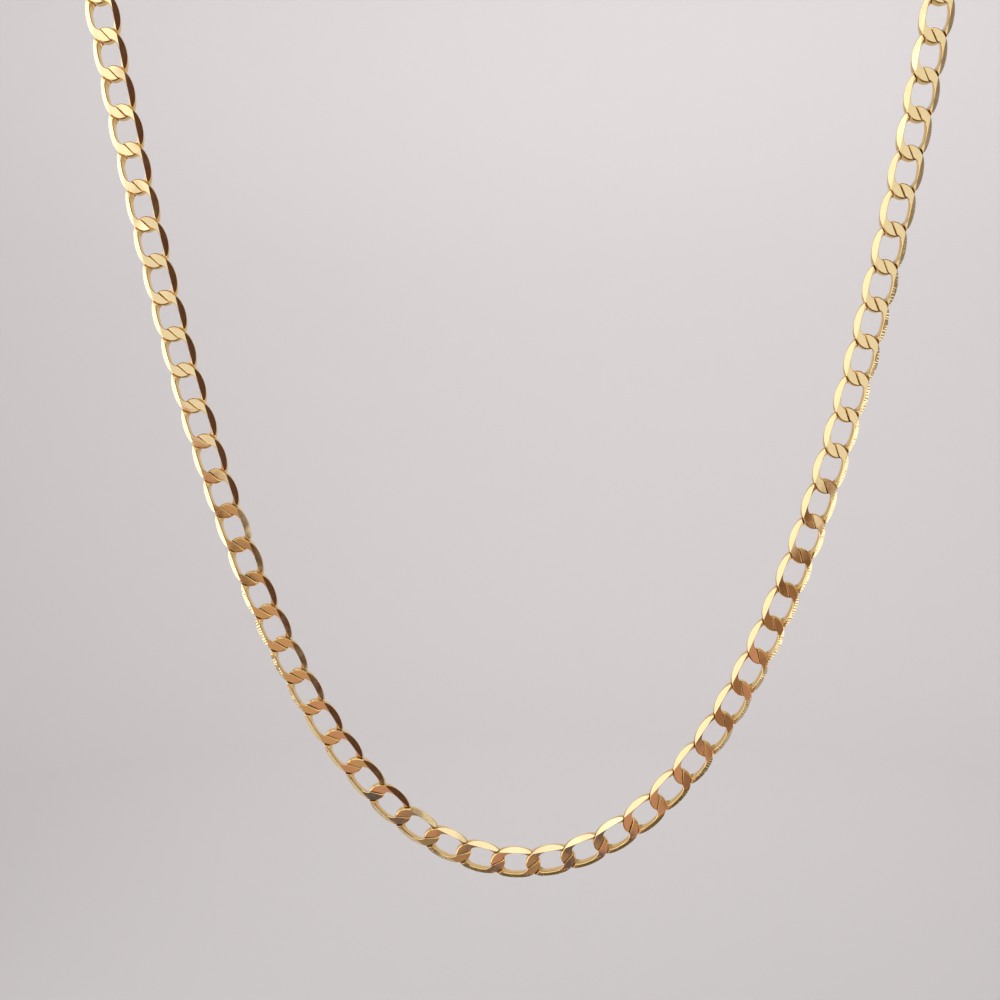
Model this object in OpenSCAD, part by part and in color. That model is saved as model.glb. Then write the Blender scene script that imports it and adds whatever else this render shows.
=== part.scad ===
// A curb chain necklace: flat twisted links in one closed loop, hanging from its clasp.
// +X is to the right as seen from the front, -Y is the front and +Z is up.
// The origin is under the middle of the clasp, where the loop hangs.

/* [Link] */
// Outside width of a link, across the chain
link_w = 4; // [3.6:0.05:4.6]
// Distance from one link to the next
pitch = 4.4; // [4.1:0.05:5]
// Thickness of the wire
wire_d = 0.86; // [0.6:0.01:0.9]
// Thickness of the chain over its cut flats
flat_t = 1.24; // [1.16:0.02:1.6]
// Free play between one link's end and the next
play = 0.14; // [0.12:0.01:0.2]
// How square the bends of a link are, 2 being an ellipse
squareness = 2.6; // [2:0.1:3]

/* [Loop] */
// Links in each half of the chain, from the clasp round to the lowest point
half_links = 50; // [46:1:54]
// Bend radius of the hanging chain at its lowest point
hang_r = 19; // [17:0.5:26]
// How far the chain has slid round from hanging evenly, towards the left arm at the top
slip = 1.3; // [0:0.1:2]

/* [Clasp] */
// Distance that the clasp spans between the two end links
clasp_span = 10; // [9:0.5:14]
// Thickness of the round wire that the hook and the eye are made of
clasp_wire = 1; // [0.8:0.05:1.1]
// Hole of the eye and opening of the hook, front to back
clasp_hole = 2.3; // [2.2:0.05:2.6]
// Length of the hook's opening
hook_open = 5; // [4:0.25:5.5]
// Thickness of the round neck between the hook and the eye
neck_d = 1.7; // [1.4:0.1:2.2]

/* [Hidden] */
gold = "#d8b25c";

// The wire round a link, and the sides of the wire
BENDS = 12;
SIDES = 6;
// Angle of the first bend, so that each end of a link is a short flat side
first_a = 180 / BENDS;
// Half the length and width of the wire's centre line
mid_l = (pitch + wire_d + play) / 2 / pow(cos(first_a), 2 / squareness);
mid_w = (link_w - wire_d) / 2;
// How far the wire leans to the front and back where links cross, and how soon it leans
lean = 0.6 * wire_d;
lean_rise = 0.5;
// Half height of the six-sided wire and half the angle that a side turns through
side_h = wire_d / 2 * cos(180 / SIDES);
side_a = 180 / SIDES;

// Half the loop, from its lowest point to its highest
half_l = half_links * pitch + clasp_span / 2;
// Length of chain on each side that hangs as a catenary, before the round top begins
hang_l = hang_length(0, half_l, 30);
hang_x = catenary_x(hang_l);
hang_z = catenary_z(hang_l);
// How far the chain's sides lean outwards where the round top begins
flare = atan(hang_r / hang_l);
top_r = hang_x / cos(flare);
top_z = hang_z + top_r * (1 + sin(flare));
// The loop hangs from the underside of the clasp's neck
drop = top_z - neck_d / 2;

// Middle of the clasp's wire round its holes, the end links' free play in it, and the places of the hook's
// ends and the eye along the clasp
clasp_ring_r = (clasp_hole + clasp_wire) / 2;
clasp_play = 1.2 * play;
clasp_end = (clasp_span + play - clasp_hole) / 2 + clasp_play;
hook_far = clasp_end;
hook_near = hook_far - hook_open + clasp_hole;
eye_x = -clasp_end;

// A catenary at length s from its lowest point, and the round top that closes the loop
function catenary_x(s) = hang_r * ln(s / hang_r + sqrt(pow(s / hang_r, 2) + 1));
function catenary_z(s) = sqrt(pow(hang_r, 2) + pow(s, 2)) - hang_r;
function top_radius(s) = catenary_x(s) / cos(atan(hang_r / s));
function top_length(s) = top_radius(s) * (90 + atan(hang_r / s)) * PI / 180;

// The hanging length at which catenary and round top add up to half the loop, by halving
function hang_length(low, high, steps) =
    let (mid = (low + high) / 2)
    steps == 0 ? mid
    : mid + top_length(mid) < half_l ? hang_length(mid, high, steps - 1)
    : hang_length(low, mid, steps - 1);

// Direction of the loop at length s from its lowest point, in degrees up from +X
function loop_angle(s) =
    s < 0 ? -loop_angle(-s)
    : s < hang_l ? atan(s / hang_r)
    : 90 - flare + (s - hang_l) / top_r * 180 / PI;

// Place of the loop's centre line at length s from its lowest point, as [x, z]
function loop_place(s) =
    s < 0 ? [-loop_place(-s)[0], loop_place(-s)[1]]
    : s < hang_l ? [catenary_x(s), catenary_z(s) - drop]
    : [top_r * sin(loop_angle(s)), top_z - top_r - top_r * cos(loop_angle(s)) - drop];

// A number raised to a power with its sign kept
function bow(x, power) = sign(x) * pow(abs(x), power);

// Wire's centre line at angle a round a link: along the chain, across it, to the front
function wire_point(a) = [
    mid_l * bow(cos(a), 2 / squareness),
    mid_w * bow(sin(a), 2 / squareness),
    -lean * bow(sin(2 * a), lean_rise)
];

// Direction of the wire at angle a, and the two directions across it: outwards and to the front
function unit(v) = v / norm(v);
function wire_along(a) = unit(wire_point(a + 1) - wire_point(a - 1));
function wire_out(a) = unit([wire_along(a)[1], -wire_along(a)[0], 0]);
function wire_front(a) = cross(wire_out(a), wire_along(a));

// Outline of the wire, six-sided, with its front and back cut down to the chain's flats
function wire_section(front_h, back_h) = [
    [wire_d / 2, 0],
    [wire_d / 2 - front_h * tan(side_a), front_h],
    [-wire_d / 2 + front_h * tan(side_a), front_h],
    [-wire_d / 2, 0],
    [-wire_d / 2 + back_h * tan(side_a), -back_h],
    [wire_d / 2 - back_h * tan(side_a), -back_h]
];

// The section's points at angle a round a link
function wire_ring(a) =
    let (
        middle = wire_point(a),
        out = wire_out(a),
        front = wire_front(a),
        front_h = min(side_h, (flat_t / 2 - middle[2]) / front[2]),
        back_h = min(side_h, (flat_t / 2 + middle[2]) / front[2])
    )
    [for (q = wire_section(front_h, back_h)) middle + q[0] * out + q[1] * front];

// A link's points in its own frame, and its faces, numbered from first
link_points = [for (k = [0 : BENDS - 1]) each wire_ring(first_a + 360 * k / BENDS)];
function link_faces(first) = [
    for (k = [0 : BENDS - 1], m = [0 : SIDES - 1])
    let (k2 = (k + 1) % BENDS, m2 = (m + 1) % SIDES)
    each [
        [first + k * SIDES + m, first + k2 * SIDES + m2, first + k2 * SIDES + m],
        [first + k * SIDES + m, first + k * SIDES + m2, first + k2 * SIDES + m2]
    ]
];

// A link's point p moved to length s round the loop
function on_loop(p, s) =
    let (a = loop_angle(s), place = loop_place(s))
    [
        place[0] + p[0] * cos(a) - p[1] * sin(a),
        -p[2],
        place[1] + p[0] * sin(a) + p[1] * cos(a)
    ];

// Links number first to last along the loop, loose in one another, as one body of chain
module chain(first, last) {
    polyhedron(
        points = [for (n = [first : last], p = link_points) on_loop(p, (n + 0.5) * pitch + slip)],
        faces = [for (n = [0 : last - first]) each link_faces(n * BENDS * SIDES)]
    );
}

// The arm of chain to the left of the lowest point, up to the clasp
module left_chain() {
    color(gold) chain(-half_links, -1);
}

// The arm of chain to the right of the lowest point, up to the clasp
module right_chain() {
    color(gold) chain(0, half_links - 1);
}

// A half ring of the clasp's round wire, open towards -X
module half_ring() {
    rotate([0, 0, -90])
        rotate_extrude(angle = 180, $fn = 48)
        translate([clasp_ring_r, 0])
        circle(clasp_wire / 2, $fn = 24);
}

// The hook: two straight sides with a half ring at each end
module hook() {
    side_l = hook_far - hook_near;
    translate([hook_far, 0, 0]) half_ring();
    translate([hook_near, 0, 0]) rotate([0, 0, 180]) half_ring();
    for (y = [-clasp_ring_r, clasp_ring_r])
        translate([hook_near, y, 0]) rotate([0, 90, 0]) cylinder(h = side_l, d = clasp_wire, $fn = 24);
}

// The eye: a whole ring of the same wire
module eye() {
    translate([eye_x, 0, 0])
        rotate_extrude($fn = 48)
        translate([clasp_ring_r, 0])
        circle(clasp_wire / 2, $fn = 24);
}

// The clasp across the top of the loop, holding an end link in its hook and one in its eye
module clasp() {
    place = loop_place(half_l + slip);
    neck_l = hook_near - eye_x - 2 * clasp_ring_r;
    color(gold)
        translate([place[0], 0, place[1]])
        rotate([0, 180 - loop_angle(half_l + slip), 0]) {
            hook();
            eye();
            translate([eye_x + clasp_ring_r, 0, 0])
                rotate([0, 90, 0])
                cylinder(h = neck_l, d = neck_d, $fn = 32);
        }
}

left_chain();
right_chain();
clasp();
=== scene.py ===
import logging
import math
from dataclasses import dataclass, field
from enum import Enum
from functools import lru_cache

import bmesh
import bpy
import numpy as np
from mathutils import Matrix, Vector


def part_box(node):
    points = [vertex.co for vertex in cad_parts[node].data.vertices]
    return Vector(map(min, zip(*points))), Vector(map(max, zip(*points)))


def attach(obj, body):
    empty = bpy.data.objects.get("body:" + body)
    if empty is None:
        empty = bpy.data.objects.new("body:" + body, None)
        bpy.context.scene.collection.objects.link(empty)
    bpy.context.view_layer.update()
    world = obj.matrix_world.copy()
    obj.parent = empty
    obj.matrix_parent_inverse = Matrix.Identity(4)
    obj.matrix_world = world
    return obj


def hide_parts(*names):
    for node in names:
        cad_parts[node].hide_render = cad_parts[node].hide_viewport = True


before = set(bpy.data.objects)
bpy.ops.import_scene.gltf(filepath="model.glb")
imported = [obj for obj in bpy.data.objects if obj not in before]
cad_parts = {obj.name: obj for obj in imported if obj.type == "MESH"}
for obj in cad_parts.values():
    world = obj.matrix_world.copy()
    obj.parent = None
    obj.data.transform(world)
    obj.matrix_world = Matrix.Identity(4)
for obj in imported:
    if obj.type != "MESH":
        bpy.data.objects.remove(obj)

LOG = logging.getLogger("curb_chain")
MM = 0.001
MICRON = 0.001 * MM
FRONT = Vector((0, -1, 0))
# The middle of the hanging loop, which the lights and cards stand round.
MIDDLE = Vector((0, 0, -0.12))
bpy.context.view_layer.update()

# Blender's wave texture repeats every 0.314 units at scale 1.
WAVE_PERIOD = 0.314
# The boolean solver can fail where faces almost coincide. It has failed where less than a tenth is left of a
# body, and the tool is then moved by microns (these are millimetres) and tried again.
CARVE_TRIES = 8
CARVE_NUDGE = Vector((0.003, 0.002, 0.001))
CARVE_LEAST = 0.1


def linear(hex_colour: str) -> tuple[float, float, float, float]:
    """Turns an sRGB hex colour to linear light.

    Args:
        hex_colour: Six hex digits after a hash sign.

    Returns:
        Red, green, blue and alpha, each from 0 to 1.
    """
    parts = [int(hex_colour[k:k + 2], 16) / 255 for k in (1, 3, 5)]
    light = [c / 12.92 if c <= 0.04045 else ((c + 0.055) / 1.055) ** 2.4 for c in parts]
    return (*light, 1.0)


def add_node(tree: bpy.types.NodeTree, kind: str, settings: dict | None = None,
             links: dict | None = None) -> bpy.types.Node:
    """Adds a node, sets it up and links its inputs.

    Args:
        tree: The node tree that it goes into.
        kind: The node's type name in Blender.
        settings: Property names, or input names and numbers, to their values.
        links: Input names or numbers to the output sockets that feed them.

    Returns:
        The new node.
    """
    node = tree.nodes.new(kind)
    for key, value in (settings or {}).items():
        if isinstance(key, str) and hasattr(node, key):
            setattr(node, key, value)
        else:
            node.inputs[key].default_value = value
    for key, socket in (links or {}).items():
        tree.links.new(socket, node.inputs[key])
    return node


def new_material(name: str) -> tuple[bpy.types.Material, bpy.types.NodeTree]:
    """Makes an empty node material.

    Args:
        name: The material's name.

    Returns:
        The material and its cleared node tree.
    """
    material = bpy.data.materials.new(name)
    material.use_nodes = True
    material.node_tree.nodes.clear()
    return material, material.node_tree


class Surface(Enum):
    """How a stretch of a link's surface was made."""

    DRAWN = 0
    CUT = 1


@dataclass(frozen=True)
class GoldPlate:
    """Yellow gold plate over brass, as a jeweller finishes it, in a link's own frame."""

    name: str
    colour: str
    roughness: float
    # The slow waves that polishing leaves: their breadth and height.
    swell_mm: float
    swell_height_mm: float
    # The marks of a cutter that chatters: their distance and height.
    chatter_mm: float
    chatter_height_mm: float
    # The most that a link is twisted, as the rise for each millimetre across and along.
    twist_per_mm: float
    # The cutter skips in patches of about this size, where their noise lies between these values.
    patch_mm: float = 0.625
    patch_edge: tuple[float, float] = (0.45, 0.55)
    # Where across a link its outer side begins, and where the marks are at their full height.
    side_edge_mm: tuple[float, float] = (-1.2, -1.4)
    # The polish varies by this much round its roughness.
    shine: tuple[float, float] = (0.7, 1.4)

    def swell(self, tree: bpy.types.NodeTree, place: bpy.types.Node,
              seed: bpy.types.Node) -> bpy.types.NodeSocket:
        """Adds the slow waves.

        Args:
            tree: The material's nodes.
            place: The place in the link's frame.
            seed: The link's own number.

        Returns:
            The surface normal so far.
        """
        noise = {"noise_dimensions": "4D", "Scale": 1 / self.swell_mm, "Detail": 0.6}
        waves = add_node(tree, "ShaderNodeTexNoise", noise,
                         {"Vector": place.outputs["Vector"], "W": seed.outputs["Fac"]})
        bump = add_node(tree, "ShaderNodeBump", {"Strength": 1.0, "Distance": self.swell_height_mm * MM},
                        {"Height": waves.outputs["Fac"]})
        return bump.outputs["Normal"]

    def twist(self, tree: bpy.types.NodeTree, spot: bpy.types.Node, seed: bpy.types.Node,
              normal: bpy.types.NodeSocket) -> bpy.types.NodeSocket:
        """Twists each link a little its own way, so that its two ends face apart.

        Args:
            tree: The material's nodes.
            spot: The place in the link's frame, taken apart.
            seed: The link's own number.
            normal: The surface normal so far.

        Returns:
            The surface normal with the twist, whose height is twist * x * y.
        """
        chance = add_node(tree, "ShaderNodeTexWhiteNoise", {"noise_dimensions": "1D"},
                          {"W": seed.outputs["Fac"]})
        turn = add_node(tree, "ShaderNodeMapRange",
                        {"To Min": -self.twist_per_mm, "To Max": self.twist_per_mm},
                        {"Value": chance.outputs["Value"]})
        saddle = add_node(tree, "ShaderNodeMath", {"operation": "MULTIPLY"},
                          {0: spot.outputs["X"], 1: spot.outputs["Y"]})
        height = add_node(tree, "ShaderNodeMath", {"operation": "MULTIPLY"},
                          {0: saddle.outputs["Value"], 1: turn.outputs["Result"]})
        bump = add_node(tree, "ShaderNodeBump", {"Strength": 1.0, "Distance": MM},
                        {"Height": height.outputs["Value"], "Normal": normal})
        return bump.outputs["Normal"]

    def chatter(self, tree: bpy.types.NodeTree, place: bpy.types.Node, spot: bpy.types.Node,
                skip: bpy.types.Node, normal: bpy.types.NodeSocket) -> bpy.types.NodeSocket:
        """Marks the outer side where the cutter skipped.

        The marks vary along the chain only. Real ones are some 0.05 mm apart, too fine to show in the
        render, so they are drawn as coarse as chatter_mm.

        Args:
            tree: The material's nodes.
            place: The place in the link's frame.
            spot: The same place, taken apart.
            skip: The noise of the patches.
            normal: The surface normal so far.

        Returns:
            The surface normal with the marks.
        """
        patch = add_node(tree, "ShaderNodeMapRange",
                         {"From Min": self.patch_edge[0], "From Max": self.patch_edge[1]},
                         {"Value": skip.outputs["Fac"]})
        outer_side = add_node(tree, "ShaderNodeMapRange",
                              {"From Min": self.side_edge_mm[0], "From Max": self.side_edge_mm[1]},
                              {"Value": spot.outputs["Y"]})
        waves = add_node(tree, "ShaderNodeTexWave", {
            "wave_type": "BANDS", "bands_direction": "X", "Distortion": 3.0, "Detail": 1.5,
            "Scale": WAVE_PERIOD / self.chatter_mm, "Detail Scale": 1.2},
            {"Vector": place.outputs["Vector"]})
        where = add_node(tree, "ShaderNodeMath", {"operation": "MULTIPLY"},
                         {0: patch.outputs["Result"], 1: outer_side.outputs["Result"]})
        marks = add_node(tree, "ShaderNodeMath", {"operation": "MULTIPLY"},
                         {0: waves.outputs["Fac"], 1: where.outputs["Value"]})
        bump = add_node(tree, "ShaderNodeBump", {"Strength": 1.0, "Distance": self.chatter_height_mm * MM},
                        {"Height": marks.outputs["Value"], "Normal": normal})
        return bump.outputs["Normal"]

    def material(self) -> bpy.types.Material:
        """Builds the plate's material.

        Returns:
            A metal whose swell, twist and chatter go with each link.
        """
        material, tree = new_material(self.name)
        place = add_node(tree, "ShaderNodeAttribute", {"attribute_name": "link_place"})
        seed = add_node(tree, "ShaderNodeAttribute", {"attribute_name": "link_seed"})
        spot = add_node(tree, "ShaderNodeSeparateXYZ", {}, {"Vector": place.outputs["Vector"]})
        noise = {"noise_dimensions": "4D", "Scale": 1 / self.patch_mm, "Detail": 1.0}
        skip = add_node(tree, "ShaderNodeTexNoise", noise,
                        {"Vector": place.outputs["Vector"], "W": seed.outputs["Fac"]})
        normal = self.swell(tree, place, seed)
        normal = self.twist(tree, spot, seed, normal)
        normal = self.chatter(tree, place, spot, skip, normal)
        polish = add_node(tree, "ShaderNodeMapRange", {
            "From Min": 0.3, "From Max": 0.7,
            "To Min": self.roughness * self.shine[0], "To Max": self.roughness * self.shine[1]},
            {"Value": skip.outputs["Fac"]})
        shader = add_node(tree, "ShaderNodeBsdfPrincipled",
                          {"Base Color": linear(self.colour), "Metallic": 1.0},
                          {"Roughness": polish.outputs["Result"], "Normal": normal})
        add_node(tree, "ShaderNodeOutputMaterial", {}, {"Surface": shader.outputs["BSDF"]})
        return material


# Cut faces come off a faceting wheel: near mirrors, each a little off flat, that show the room in patches,
# with chatter that sparkles on the outer sides.
CUT_GOLD = GoldPlate("diamond_cut_gold_plate", "#F4DEAC", roughness=0.10, swell_mm=2.6,
                     swell_height_mm=0.034, chatter_mm=0.34, chatter_height_mm=0.018, twist_per_mm=0.024)
# Drawn wire keeps a softer, tumbled polish, and its colour is a deeper yellow as painted reflection: the warm
# light bouncing between links, shown as deeper yellow edges round the cut faces.
DRAWN_GOLD_PAINTED_REFLECTION = GoldPlate("tumbled_gold_wire_painted_reflection", "#ECC886", roughness=0.17, swell_mm=1.2,
                       swell_height_mm=0.010, chatter_mm=0.34, chatter_height_mm=0.003, twist_per_mm=0.0)


def carve(body: bmesh.types.BMesh, tool: bmesh.types.BMesh) -> bmesh.types.BMesh:
    """Takes one closed mesh out of another.

    Args:
        body: The mesh that is carved; it is freed.
        tool: The mesh that is taken out; it is freed.

    Returns:
        What is left of the body.
    """
    least = CARVE_LEAST * body.calc_volume()
    objects = []
    for name, mesh in (("body", body), ("tool", tool)):
        data = bpy.data.meshes.new(name)
        mesh.to_mesh(data)
        mesh.free()
        objects.append(bpy.data.objects.new(name, data))
        bpy.context.scene.collection.objects.link(objects[-1])
    modifier = objects[0].modifiers.new("carve", "BOOLEAN")
    modifier.operation = "DIFFERENCE"
    modifier.solver = "EXACT"
    modifier.object = objects[1]
    left = bmesh.new()
    for step in range(CARVE_TRIES):
        objects[1].location = CARVE_NUDGE * step
        left.clear()
        left.from_object(objects[0], bpy.context.evaluated_depsgraph_get())
        if left.calc_volume() > least:
            break
    for item in objects:
        bpy.data.meshes.remove(item.data)
    return left


def layered_block(layers: np.ndarray) -> bmesh.types.BMesh:
    """Closes a stack of rings into a block.

    Args:
        layers: Points as rings x corners x 3.

    Returns:
        The closed block.
    """
    mesh = bmesh.new()
    rings = [[mesh.verts.new(point) for point in ring] for ring in layers]
    for low, high in zip(rings, rings[1:]):
        for k in range(len(low)):
            after = (k + 1) % len(low)
            mesh.faces.new((low[k], low[after], high[after], high[k]))
    mesh.faces.new(rings[0])
    mesh.faces.new(rings[-1])
    bmesh.ops.recalc_face_normals(mesh, faces=mesh.faces)
    return mesh


@dataclass(frozen=True)
class Link:
    """One curb link in its own frame: x along the chain, y across it, z to the front; millimetres.

    The twisted wire ring is pressed to one height, so each end fills its half of the crossing with the
    neighbour. The two meet along a saddle-shaped gap with rounded lips.
    """

    # Distance from link to link, outside width, and wire at the ends and along the sides.
    pitch: float = 4.4
    width: float = 3.94
    wire: float = 0.86
    rail: float = 0.70
    play: float = 0.14
    # Thickness over the front and back flats, and what their cuts take off each face.
    flat_t: float = 1.04
    trim: float = 0.03
    # The outline is an ellipse. The hole is squarer: shorter on the face where an end lies over its
    # neighbour, longer on the other, and broaden is how soon it goes from one to the other.
    outer_power: float = 2.0
    hole_power: float = 2.6
    near_hole_l: float = 3.2
    far_hole_l: float = 4.3
    broaden: float = 1.3
    # Radii of the wire's edges.
    inner_round: float = 0.20
    outer_round: float = 0.30
    # The gap between two links: its slant for each millimetre of height and breadth, its width, the
    # radius of its lips, and how far they flare at the faces.
    saddle: float = 3.0
    gap: float = 0.08
    lip: float = 0.08
    lip_flare: float = 1.3
    # The four side cuts: their tilt, and how far across the link they meet the flats.
    side_cut_deg: float = 36.0
    side_cut_y: float = 1.36
    # How finely the ring, its edges, the gap and its lips are built.
    rings: int = 76
    arc: int = 4
    space_sides: int = 96
    saddle_steps: int = 33
    lip_steps: int = 5
    # How far a carving block goes past the faces, past the sides and past the end.
    past_face: float = 0.1
    past_side: float = 3.2
    past_end: float = 12.0
    # Corners closer than this become one.
    weld: float = 0.004

    def oval(self, angle: np.ndarray, half_l: float | np.ndarray, half_w: float, power: float) -> np.ndarray:
        """Follows a squared-off oval.

        Args:
            angle: Angles round it in radians.
            half_l: Its half length, one value or one for each angle.
            half_w: Its half width.
            power: How square it is; 2 is an ellipse.

        Returns:
            One x and y for each angle.
        """
        cos, sin = np.cos(angle), np.sin(angle)
        return np.stack([half_l * np.sign(cos) * np.abs(cos) ** (2 / power),
                         half_w * np.sign(sin) * np.abs(sin) ** (2 / power)], axis=1)

    def outline(self, angle: np.ndarray, spare: float = 0.0) -> np.ndarray:
        """Follows the link's outline.

        Args:
            angle: Angles round it in radians.
            spare: How far outside the link to go, in millimetres.

        Returns:
            One x and y for each angle.
        """
        half_l = (self.pitch + self.play) / 2 + self.wire
        return self.oval(angle, half_l + spare, self.width / 2 + spare, self.outer_power)

    def ring_angles(self) -> np.ndarray:
        """Spaces the wire's sections evenly round the outline.

        Returns:
            The angle of each section in radians.
        """
        fine = np.linspace(0, 2 * math.pi, 8001)
        steps = np.linalg.norm(np.diff(self.outline(fine), axis=0), axis=1)
        length = np.concatenate([[0], np.cumsum(steps)])
        return np.interp((np.arange(self.rings) + 0.5) / self.rings * length[-1], length, fine)

    def ring_points(self) -> np.ndarray:
        """Lays rounded sections round the link, between its outline and its hole.

        Returns:
            Points as rings x sides x 3.
        """
        angle = self.ring_angles()
        outer = self.outline(angle)
        half_t = self.flat_t / 2 + self.trim
        # Each end is broad on the face where it lies over its neighbour, and narrow on the other.
        over = np.clip(0.5 - self.broaden * np.sin(2 * angle), 0, 1)
        parts = []
        for quarter in range(4):
            turn = (quarter + np.linspace(0, 1, self.arc)) * math.pi / 2
            outside, face = quarter in (0, 3), 1 if quarter in (0, 1) else -1
            broad = over if face > 0 else 1 - over
            hole_l = self.far_hole_l + (self.near_hole_l - self.far_hole_l) * broad
            inner = self.oval(angle, hole_l / 2, self.width / 2 - self.rail, self.hole_power)
            across = outer - inner
            breadth = np.linalg.norm(across, axis=1)[:, None]
            bend = self.outer_round if outside else self.inner_round
            middle = breadth - bend if outside else np.full_like(breadth, bend)
            offset = middle + bend * np.cos(turn)[None, :]
            flat = inner[:, None, :] + (across / breadth)[:, None, :] * offset[:, :, None]
            height = np.broadcast_to(face * (half_t - bend) + bend * np.sin(turn), offset.shape)
            parts.append(np.concatenate([flat, height[:, :, None]], axis=2))
        return np.concatenate(parts, axis=1)

    def ring_mesh(self) -> bmesh.types.BMesh:
        """Joins the sections into a closed ring.

        Returns:
            The link before it is carved and cut.
        """
        points = self.ring_points()
        rings, sides, _ = points.shape
        mesh = bmesh.new()
        verts = [mesh.verts.new(p) for p in points.reshape(-1, 3)]
        for ring in range(rings):
            for side in range(sides):
                ring2, side2 = (ring + 1) % rings, (side + 1) % sides
                corners = [(ring, side), (ring, side2), (ring2, side2), (ring2, side)]
                mesh.faces.new([verts[r * sides + s] for r, s in corners])
        bmesh.ops.recalc_face_normals(mesh, faces=mesh.faces)
        return mesh

    def lip_levels(self) -> tuple[np.ndarray, np.ndarray]:
        """Lists heights from back to front and how far the gap's lips are rounded off at each.

        Returns:
            The heights and the extra room, in millimetres.
        """
        half_t = self.flat_t / 2
        turn = np.linspace(0, math.pi / 2, self.lip_steps)
        height = np.concatenate([np.linspace(0, half_t - self.lip, self.lip_steps)[:-1],
                                 half_t - self.lip * (1 - np.sin(turn)), [half_t + self.past_face]])
        room = np.concatenate([np.zeros(self.lip_steps - 1), self.lip * (1 - np.cos(turn)),
                               [self.lip * self.lip_flare]])
        return np.concatenate([-height[:0:-1], height]), np.concatenate([room[:0:-1], room])

    def neighbour_space(self, end: int, bend: float) -> bmesh.types.BMesh:
        """Fills the space that belongs to the neighbour at one end.

        Args:
            end: 1 for the right-hand end, -1 for the left-hand one.
            bend: The chain's bend at that end, in radians.

        Returns:
            A closed block: the neighbour's outline with some room, up to the saddle between the two.
        """
        heights, room = self.lip_levels()
        turn = np.linspace(0, 2 * math.pi, self.space_sides, endpoint=False)
        outlines = [self.outline(turn, self.gap + more) for more in room]
        walls = np.stack([np.column_stack([flat, np.full(len(flat), z)])
                          for flat, z in zip(outlines, heights)])
        across = np.linspace(-self.past_side, self.past_side, self.saddle_steps)
        slant = (self.gap / 2 + room) * np.sqrt(1 + (self.saddle * heights) ** 2)
        near = self.saddle * heights[:, None] * across[None, :] + end * slant[:, None]
        saddle = np.stack([near, *np.broadcast_arrays(across[None, :], heights[:, None])], axis=2)
        rim = np.array([[end * self.past_end, across[-1], 0], [end * self.past_end, across[0], 0]])
        sides = np.stack([rim + [0, 0, z] for z in heights])
        joint = Matrix.Translation((end * self.pitch / 2, 0, 0))
        walls_at = joint @ Matrix.Rotation(end * bend, 4, "Z") @ joint
        saddle_at = joint @ Matrix.Rotation(end * bend / 2, 4, "Z")
        space, own = layered_block(walls), layered_block(np.concatenate([saddle, sides], axis=1))
        space.transform(walls_at)
        own.transform(saddle_at)
        return carve(space, own)

    def cut(self, mesh: bmesh.types.BMesh, normal: Vector, distance: float) -> None:
        """Cuts a flat face off the link.

        Args:
            mesh: The link so far.
            normal: The cut face's outward normal.
            distance: How far the face lies from the link's centre.
        """
        parts = [*mesh.verts, *mesh.edges, *mesh.faces]
        cut = bmesh.ops.bisect_plane(mesh, geom=parts, dist=1e-5, plane_co=normal * distance,
                                     plane_no=normal, clear_outer=True)
        edges = [e for e in cut["geom_cut"] if isinstance(e, bmesh.types.BMEdge)]
        filled = bmesh.ops.holes_fill(mesh, edges=edges, sides=0)
        for face in filled["faces"]:
            face.material_index = Surface.CUT.value
            face.smooth = False

    def mesh(self, bends: tuple[float, float] = (0.0, 0.0)) -> bmesh.types.BMesh:
        """Builds the link with its front and back flats and its four side cuts.

        Args:
            bends: The chain's bend at the left-hand and the right-hand end, in radians.

        Returns:
            A closed mesh in the link's own frame.
        """
        mesh = self.ring_mesh()
        for end, bend in zip((-1, 1), bends):
            mesh = carve(mesh, self.neighbour_space(end, bend))
        for face in mesh.faces:
            face.material_index = Surface.DRAWN.value
            face.smooth = True
        tilt = math.radians(self.side_cut_deg)
        for face in (-1, 1):
            self.cut(mesh, Vector((0, 0, face)), self.flat_t / 2)
            for side in (-1, 1):
                normal = Vector((0, side * math.sin(tilt), face * math.cos(tilt)))
                edge = Vector((0, side * self.side_cut_y, face * self.flat_t / 2))
                self.cut(mesh, normal, normal.dot(edge))
        bmesh.ops.remove_doubles(mesh, verts=mesh.verts, dist=self.weld)
        bmesh.ops.triangulate(mesh, faces=[f for f in mesh.faces if len(f.verts) > 4])
        bmesh.ops.recalc_face_normals(mesh, faces=mesh.faces)
        return mesh


@lru_cache(maxsize=None)
def link_form(link: Link, left_deg: int, right_deg: int) -> tuple[np.ndarray, list, list, list]:
    """Makes one form of link, once.

    Args:
        link: The link's measures.
        left_deg: The chain's bend at its left-hand end, in degrees.
        right_deg: The chain's bend at its right-hand end, in degrees.

    Returns:
        Its points, faces, face surfaces and face smoothing.
    """
    mesh = link.mesh((math.radians(left_deg), math.radians(right_deg)))
    mesh.verts.index_update()
    form = (np.array([v.co for v in mesh.verts]), [[v.index for v in f.verts] for f in mesh.faces],
            [f.material_index for f in mesh.faces], [f.smooth for f in mesh.faces])
    mesh.free()
    return form


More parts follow.
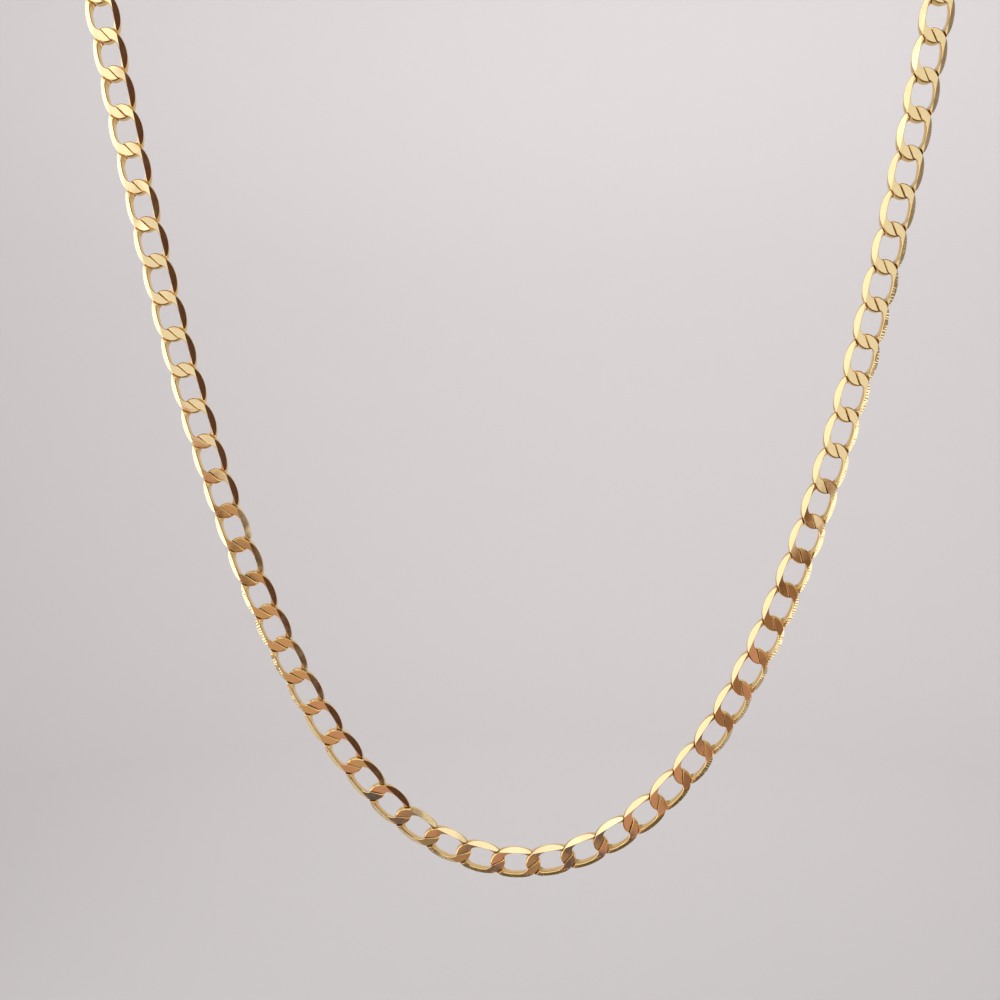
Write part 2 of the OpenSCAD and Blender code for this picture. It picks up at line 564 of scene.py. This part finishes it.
@dataclass(frozen=True)
class Place:
    """Where one link lies: its centre in metres, and the chain's direction there."""

    centre: Vector
    along: Vector

    def matrix(self, lean: tuple[float, float, float]) -> Matrix:
        """Works out the link's placement.

        Args:
            lean: Small turns about the link's x, y and z axes, in degrees.

        Returns:
            The matrix from the link's frame in millimetres to the necklace's in metres.
        """
        across = FRONT.cross(self.along)
        axes = Matrix((self.along, across, FRONT)).transposed().to_4x4()
        turns = Matrix.Identity(4)
        for angle, axis in zip(lean, "XYZ"):
            turns = turns @ Matrix.Rotation(math.radians(angle), 4, axis)
        return Matrix.Translation(self.centre) @ axes @ turns @ Matrix.Scale(MM, 4)

    def bend_to(self, other: "Place") -> float:
        """Measures the chain's bend from this link to another.

        Args:
            other: The other link's place.

        Returns:
            The bend in radians, positive where the chain turns towards its inner side.
        """
        turn = self.along.cross(other.along).dot(FRONT)
        return math.atan2(turn, self.along.dot(other.along))


def shape_of_each(count: int, faces: list[list[int]]) -> np.ndarray:
    """Finds which corners belong to one closed shape.

    Args:
        count: How many corners there are.
        faces: The corners of each face.

    Returns:
        For each corner, the number of one corner that stands for its shape.
    """
    group = list(range(count))

    def stand_in(corner: int) -> int:
        """Follows a corner to the one that stands for its shape.

        Args:
            corner: The corner's number.

        Returns:
            The number of the corner that stands for it.
        """
        while group[corner] != corner:
            group[corner] = group[group[corner]]
            corner = group[corner]
        return corner

    for face in faces:
        first = stand_in(face[0])
        for corner in face[1:]:
            group[stand_in(corner)] = first
    return np.array([stand_in(corner) for corner in range(count)])


def link_places(node: str, upwards: bool) -> list[Place]:
    """Finds each link of a CAD chain node.

    Args:
        node: The node's name.
        upwards: Whether the arm climbs, as the loop is followed from left to right.

    Returns:
        The links' places in the loop's order.
    """
    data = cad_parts[node].data
    points = np.zeros(len(data.vertices) * 3)
    data.vertices.foreach_get("co", points)
    grid = np.round(points.reshape(-1, 3) / MICRON).astype(int)
    corners, same = np.unique(grid, axis=0, return_inverse=True)
    same = same.reshape(-1)
    shapes = shape_of_each(len(corners), [[same[k] for k in face.vertices] for face in data.polygons])
    spots = []
    for shape in np.unique(shapes):
        own = corners[shapes == shape] * MICRON
        centre = own.mean(axis=0)
        _, _, axes = np.linalg.svd(own - centre, full_matrices=False)
        spots.append((Vector(centre), Vector((axes[0][0], 0, axes[0][2])).normalized()))
    spots.sort(key=lambda spot: spot[0].z, reverse=not upwards)
    return [Place(centre, along if (along.z > 0) == upwards else -along) for centre, along in spots]


@dataclass
class Chain:
    """One arm of the chain: every link of a CAD node, made in full and joined into one piece."""

    node: str
    name: str
    seed: int
    places: list[Place]
    bends: list[tuple[float, float]]
    link: Link = field(default_factory=Link)
    # The most that a link leans about its own axes.
    lean_deg: tuple[float, float, float] = (3.0, 1.2, 0.5)
    # Edges sharper than this stay crisp.
    sharp_deg: float = 24.0

    def build(self) -> bpy.types.Object:
        """Makes each link and sets it at its place.

        Returns:
            The arm as one mesh object.
        """
        random = np.random.default_rng(self.seed)
        locals_, points, polygons, seeds, surfaces, smooth = [], [], [], [], [], []
        first = 0
        for place, bends in zip(self.places, self.bends):
            local, faces, kinds, soft = link_form(self.link, *(round(math.degrees(bend)) for bend in bends))
            lean = tuple(random.uniform(-1, 1) * limit for limit in self.lean_deg)
            matrix = np.array(place.matrix(lean))
            locals_.append(local)
            points.append(local @ matrix[:3, :3].T + matrix[:3, 3])
            polygons += [[first + k for k in face] for face in faces]
            seeds.append(np.full(len(local), random.uniform(0, 100)))
            surfaces += kinds
            smooth += soft
            first += len(local)
        data = bpy.data.meshes.new(self.name)
        data.from_pydata(np.concatenate(points).tolist(), [], polygons)
        data.polygons.foreach_set("material_index", surfaces)
        spot = data.attributes.new("link_place", "FLOAT_VECTOR", "POINT")
        spot.data.foreach_set("vector", np.concatenate(locals_).ravel())
        number = data.attributes.new("link_seed", "FLOAT", "POINT")
        number.data.foreach_set("value", np.concatenate(seeds))
        # Edges first: setting them makes every face smooth.
        data.set_sharp_from_angle(angle=math.radians(self.sharp_deg))
        data.polygons.foreach_set("use_smooth", smooth)
        data.update()
        piece = bpy.data.objects.new(self.name, data)
        bpy.context.scene.collection.objects.link(piece)
        LOG.info("%s: %d links, %d triangles", self.name, len(self.places),
                 sum(len(p.vertices) - 2 for p in data.polygons))
        return piece

    def dress(self, piece: bpy.types.Object, finishes: dict[Surface, bpy.types.Material]) -> None:
        """Gives the arm its finishes and fixes it to the frame.

        Args:
            piece: The arm.
            finishes: The material for each kind of surface.
        """
        for surface in Surface:
            piece.data.materials.append(finishes[surface])
        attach(piece, "root")
        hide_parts(self.node)


@dataclass(frozen=True)
class Clasp:
    """The clasp at the back of the neck, shown as its plain CAD node."""

    node: str = "clasp"

    def dress(self, gold: bpy.types.Material) -> None:
        """Gives the clasp its finish.

        Args:
            gold: The clasp's material.
        """
        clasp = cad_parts[self.node]
        clasp.data.materials.clear()
        clasp.data.materials.append(gold)
        for polygon in clasp.data.polygons:
            polygon.use_smooth = True
        LOG.info("%s: %d faces", self.node, len(clasp.data.polygons))


@dataclass(frozen=True)
class Panel:
    """A flat light or card round the necklace, given by where it is seen from the necklace's middle."""

    name: str
    side_deg: float
    up_deg: float
    half_side_deg: float
    half_up_deg: float
    colour: str
    bright: float = 0.0
    far: float = 0.70
    aim: tuple[float, float, float] = tuple(MIDDLE)

    def place(self) -> Vector:
        """Works out the panel's centre.

        Returns:
            The centre in metres.
        """
        side, up = math.radians(self.side_deg), math.radians(self.up_deg)
        return MIDDLE + self.far * Vector((math.sin(side) * math.cos(up), -math.cos(side) * math.cos(up),
                                           math.sin(up)))

    def size(self) -> tuple[float, float]:
        """Works out the panel's size.

        Returns:
            Its width and height in metres.
        """
        return tuple(2 * self.far * math.tan(math.radians(half))
                     for half in (self.half_side_deg, self.half_up_deg))


# What the metal mirrors: bright to the left and above, duller to the right, warm and dark cards low in front.
LIGHTS = [
    Panel("left_softbox", -98, 3, 18, 31.5, "#FCFDFF", 1.65, far=0.42),
    Panel("left_fill", -58, 6, 21, 32, "#FFFDF8", 1.00, far=0.44),
    Panel("top_softbox", -8, 58, 38, 20, "#FCFDFF", 0.85),
    Panel("top_fill", -24, 26, 18, 10, "#FFFFFF", 0.40),
    Panel("front_fill_left", -25, 17, 13, 22, "#FFFFFF", 0.62),
    Panel("front_fill", 13, 13, 25, 20, "#FFFFF8", 0.60),
    Panel("right_low_fill", 50, -2, 12, 9, "#F8FAFF", 1.10),
    Panel("right_softbox", 92, -18, 20, 12, "#F8FAFF", 1.10, far=0.45),
    Panel("backdrop_wash", 170, 64, 30, 12, "#FFFFFF", 8.8, aim=(0.1, 1.3, 0.25)),
]
CARDS = [
    Panel("umber_card_right_high", 50, 24, 12, 16, "#6A4A42", far=0.66),
    Panel("grey_card_right", 78, 12, 16, 28, "#B0A8A4", far=0.66),
    Panel("peach_card_left", -30, -17, 18, 13, "#ECC09E", far=0.54),
    Panel("rose_card_middle", 0, -18, 12, 11, "#E8B2A2", far=0.58),
    Panel("tan_card_right", 27, -18, 15, 11, "#B0846A", far=0.58),
    Panel("umber_strip_left", -20, -9, 7, 1.0, "#6E604A", far=0.48),
    Panel("peach_strip_left", -22, -4, 12, 2.2, "#D8A084", far=0.48),
    Panel("brown_strip_right", 25, -12, 10, 1.5, "#86644A", far=0.48),
    Panel("slate_card_left", -30, -34.5, 18, 4, "#6A6A80", far=0.36),
    Panel("slate_card_middle", 0, -34, 14, 3, "#726878", far=0.36),
    Panel("dark_card_right", 36, -34.5, 22, 4, "#5E4A4C", far=0.36),
    Panel("olive_card_left", -30, -47, 18, 8, "#A09A84", far=0.34),
    Panel("clay_card_low", 10, -46, 24, 9, "#BA9880", far=0.34),
    Panel("dark_card_below", 25, -80, 40, 24, "#7A6E54", far=0.28),
]


@dataclass(frozen=True)
class Studio:
    """A pale floor that sweeps up all round, soft lights, and the camera; metres."""

    # The floor: its height, the radius where it stands upright, its bend, and its wall.
    floor_z: float = -0.42
    bowl_r: float = 1.3
    sweep_r: float = 0.5
    wall_h: float = 1.5
    floor_sides: int = 96
    sweep_steps: int = 12
    floor_colour: str = "#D9D5D5"
    # The light that comes from all round.
    room_colour: str = "#FFFFFF"
    room_bright: float = 0.42
    # The camera: its place from the chain's lowest point in millimetres, its turns, and its lens.
    camera_mm: tuple[float, float, float] = (0.75, -120.05, 55.94)
    camera_deg: tuple[float, float, float] = (84.931, 0.501, 1.474)
    sensor_mm: float = 36
    lens_mm: float = 36
    nearest: float = 0.005

    def floor_profile(self) -> list[tuple[float, float]]:
        """Draws the floor's section from its flat edge up to the top of its wall.

        Returns:
            A radius and a height for each point.
        """
        flat_r = self.bowl_r - self.sweep_r
        profile = [(flat_r, self.floor_z)]
        for k in range(1, self.sweep_steps + 1):
            a = k / self.sweep_steps * math.pi / 2
            profile.append((flat_r + self.sweep_r * math.sin(a),
                            self.floor_z + self.sweep_r * (1 - math.cos(a))))
        profile.append((self.bowl_r, self.floor_z + self.wall_h))
        return profile

    def floor(self) -> None:
        """Makes the floor and its material."""
        steps = self.floor_sides
        mesh = bmesh.new()
        rows = [[mesh.verts.new((r * math.cos(t), r * math.sin(t), z))
                 for t in (2 * math.pi * k / steps for k in range(steps))] for r, z in self.floor_profile()]
        mesh.faces.new(rows[0])
        for low, high in zip(rows, rows[1:]):
            for k in range(steps):
                after = (k + 1) % steps
                mesh.faces.new((low[k], low[after], high[after], high[k])).smooth = True
        bmesh.ops.recalc_face_normals(mesh, faces=mesh.faces)
        bmesh.ops.reverse_faces(mesh, faces=mesh.faces)
        data = bpy.data.meshes.new("pale_floor")
        mesh.to_mesh(data)
        mesh.free()
        floor = bpy.data.objects.new("pale_floor", data)
        bpy.context.scene.collection.objects.link(floor)
        # Painted plaster scatters light evenly, so it is a pale ground without a glint.
        material, tree = new_material("matt_painted_plaster")
        shader = add_node(tree, "ShaderNodeBsdfPrincipled", {
            "Base Color": linear(self.floor_colour), "Roughness": 0.9, "Specular IOR Level": 0.2})
        add_node(tree, "ShaderNodeOutputMaterial", {}, {"Surface": shader.outputs["BSDF"]})
        floor.data.materials.append(material)

    def light(self, panel: Panel) -> None:
        """Hangs a soft, even light that faces the necklace.

        Args:
            panel: The light's place, size, colour and brightness.
        """
        data = bpy.data.lights.new(panel.name, "AREA")
        data.shape = "RECTANGLE"
        data.size, data.size_y = panel.size()
        data.energy = panel.bright * math.pi * data.size * data.size_y
        data.color = linear(panel.colour)[:3]
        lamp = bpy.data.objects.new(panel.name, data)
        lamp.location = panel.place()
        lamp.rotation_euler = (Vector(panel.aim) - lamp.location).to_track_quat("-Z", "Y").to_euler()
        lamp.visible_camera = False
        bpy.context.scene.collection.objects.link(lamp)

    def card(self, panel: Panel) -> None:
        """Stands a coloured card where the metal mirrors it and the camera doesn't see it.

        Args:
            panel: The card's place, size and colour.
        """
        mesh = bmesh.new()
        bmesh.ops.create_grid(mesh, x_segments=1, y_segments=1, size=0.5)
        data = bpy.data.meshes.new(panel.name)
        mesh.to_mesh(data)
        mesh.free()
        card = bpy.data.objects.new(panel.name, data)
        card.location = panel.place()
        card.scale = (*panel.size(), 1)
        card.rotation_euler = (MIDDLE - card.location).to_track_quat("Z", "Y").to_euler()
        card.visible_camera = False
        card.visible_shadow = False
        card.visible_diffuse = False
        bpy.context.scene.collection.objects.link(card)
        # Matt coloured paper shows in the metal as one even patch.
        material, tree = new_material(panel.name + "_paper")
        shader = add_node(tree, "ShaderNodeBsdfPrincipled",
                          {"Base Color": linear(panel.colour), "Roughness": 0.8, "Specular IOR Level": 0.1})
        add_node(tree, "ShaderNodeOutputMaterial", {}, {"Surface": shader.outputs["BSDF"]})
        card.data.materials.append(material)

    def lights(self) -> None:
        """Sets the room's own light, hangs the lights and stands the cards."""
        world = bpy.data.worlds.new("room")
        bpy.context.scene.world = world
        world.use_nodes = True
        background = world.node_tree.nodes["Background"]
        background.inputs["Color"].default_value = linear(self.room_colour)
        background.inputs["Strength"].default_value = self.room_bright
        for panel in LIGHTS:
            self.light(panel)
        for panel in CARDS:
            self.card(panel)

    def camera(self, low: Vector) -> None:
        """Sets the camera at the photograph's viewing angle.

        Args:
            low: The lowest point of the chain's centre line.
        """
        data = bpy.data.cameras.new("camera")
        data.sensor_width = self.sensor_mm
        data.lens = self.lens_mm
        data.clip_start = self.nearest
        camera = bpy.data.objects.new("camera", data)
        camera.location = low + Vector(self.camera_mm) * MM
        camera.rotation_euler = [math.radians(a) for a in self.camera_deg]
        bpy.context.scene.collection.objects.link(camera)
        bpy.context.scene.camera = camera

    def build(self, low: Vector) -> None:
        """Sets up the floor, the lights and the camera.

        Args:
            low: The lowest point of the chain's centre line.
        """
        self.floor()
        self.lights()
        self.camera(low)
        bpy.context.scene.view_settings.view_transform = "Standard"
        LOG.info("studio: %d lights, %d cards", len(LIGHTS), len(CARDS))


def main() -> None:
    """Builds the necklace's looks, the studio and the camera."""
    logging.basicConfig(level=logging.INFO, format="%(name)s: %(message)s")
    finishes = {Surface.DRAWN: DRAWN_GOLD_PAINTED_REFLECTION.material(), Surface.CUT: CUT_GOLD.material()}
    arms = {"left_chain": link_places("left_chain", False), "right_chain": link_places("right_chain", True)}
    loop = [*arms["left_chain"], *arms["right_chain"]]
    turns = [0.0, *(place.bend_to(after) for place, after in zip(loop, loop[1:])), 0.0]
    ends = list(zip(turns, turns[1:]))
    for seed, (node, places) in zip((11, 23), arms.items()):
        first = loop.index(places[0])
        chain = Chain(node, node + "_links", seed, places, ends[first:first + len(places)])
        chain.dress(chain.build(), finishes)
    Clasp().dress(finishes[Surface.DRAWN])
    low = Vector((0, 0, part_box("left_chain")[0].z + Link().width / 2 * MM))
    Studio().build(low)


if __name__ == "__main__":
    main()
